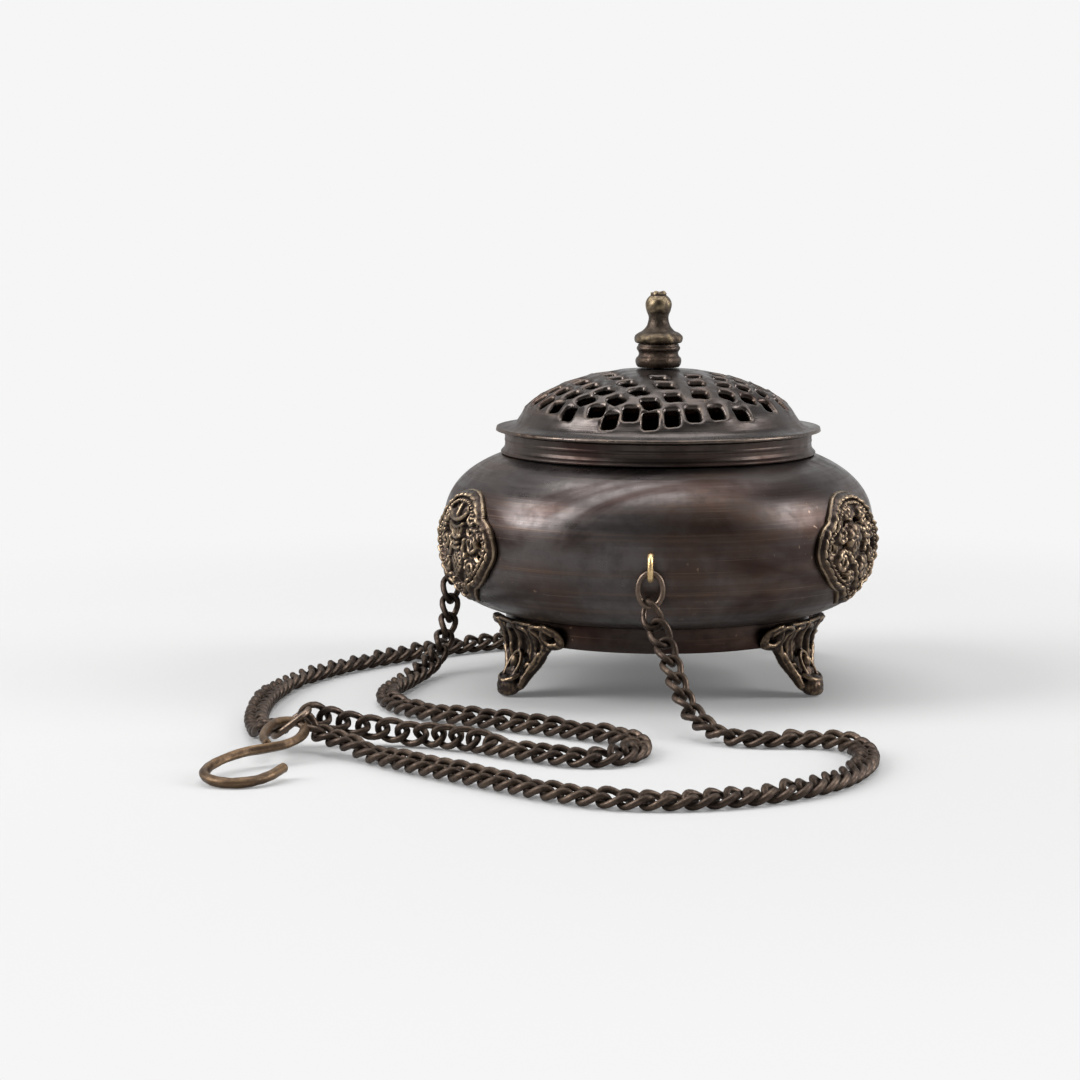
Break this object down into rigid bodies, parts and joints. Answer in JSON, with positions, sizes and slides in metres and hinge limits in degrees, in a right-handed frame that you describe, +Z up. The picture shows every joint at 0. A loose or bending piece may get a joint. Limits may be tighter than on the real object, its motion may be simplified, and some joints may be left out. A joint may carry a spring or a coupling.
{
  "type": "thurible censer",
  "caption": "Footed round incense bowl with a pierced lift-off lid, soldered pierced medallions, and curb chains that hang it from a ring and an S-hook.",
  "frame": {"origin": "on the table, under the bowl's axis", "axes": "+Z up along the bowl's axis, -Y towards the chain eye at the front, +X to the right seen from the front"},
  "size_m": [0.1873, 0.2506, 0.1182],
  "materials": {
    "dark_bronze": "dark brown patina, semi-gloss, finely scratched",
    "cast_bronze": "cast, dark in the hollows, ridges worn to gold-brown",
    "worn_brass": "brass showing through a worn dark patina",
    "bright_brass": "bare bright brass wire",
    "chain_metal": "matt dark brown oxidised wire",
    "pan_copper": "heat-darkened copper"
  },
  "bodies": {
    "censer": {"bowl": "dark_bronze", "neck_collar": "dark_bronze", "base_ring": "dark_bronze", "foot_left": "cast_bronze", "foot_right": "cast_bronze", "foot_back": "cast_bronze", "medallion_left": "cast_bronze", "medallion_right": "cast_bronze", "medallion_back": "cast_bronze", "chain_eye_front": "bright_brass", "chain_eye_back_left": "bright_brass", "chain_eye_back_right": "bright_brass", "chain_front": "chain_metal", "chain_back_left": "chain_metal", "chain_back_right": "chain_metal", "gather_ring": "chain_metal"},
    "pan": {"charcoal_pan": "pan_copper"},
    "cover": {"lid": "dark_bronze", "lid_locating_ring": "dark_bronze", "finial_drum": "cast_bronze", "finial_knob": "worn_brass", "finial_washer": "cast_bronze", "finial_nut": "cast_bronze"},
    "ring_front": {"jump_ring_front": "chain_metal"},
    "ring_back_left": {"jump_ring_back_left": "chain_metal"},
    "ring_back_right": {"jump_ring_back_right": "chain_metal"},
    "hook": {"s_hook": "worn_brass"}
  },
  "joints": [
    {"name": "pan_lift", "type": "slide", "parent": "censer", "child": "pan", "axis": [0, 0, 1], "range_m": [0, 0.07]},
    {"name": "lid_lift", "type": "slide", "parent": "pan", "child": "cover", "axis": [0, 0, 1], "range_m": [0, 0.07]},
    {"name": "ring_front_swing", "type": "hinge", "parent": "censer", "child": "ring_front", "pos_m": [-0.0047, -0.06724, 0.0422], "axis": [-0.9976, 0.0698, 0], "range_deg": [-10, 40]},
    {"name": "ring_back_left_swing", "type": "hinge", "parent": "censer", "child": "ring_back_left", "pos_m": [-0.06249, 0.02525, 0.0422], "axis": [0.3746, 0.9272, 0], "range_deg": [-10, 40]},
    {"name": "ring_back_right_swing", "type": "hinge", "parent": "censer", "child": "ring_back_right", "pos_m": [0.05311, 0.0415, 0.0422], "axis": [0.6157, -0.788, 0], "range_deg": [-10, 40]},
    {"name": "hook_swing", "type": "hinge", "parent": "censer", "child": "hook", "pos_m": [-0.1025, -0.107, 0.0074], "axis": [0, 0, 1], "range_deg": [-6, 12]}
  ]
}
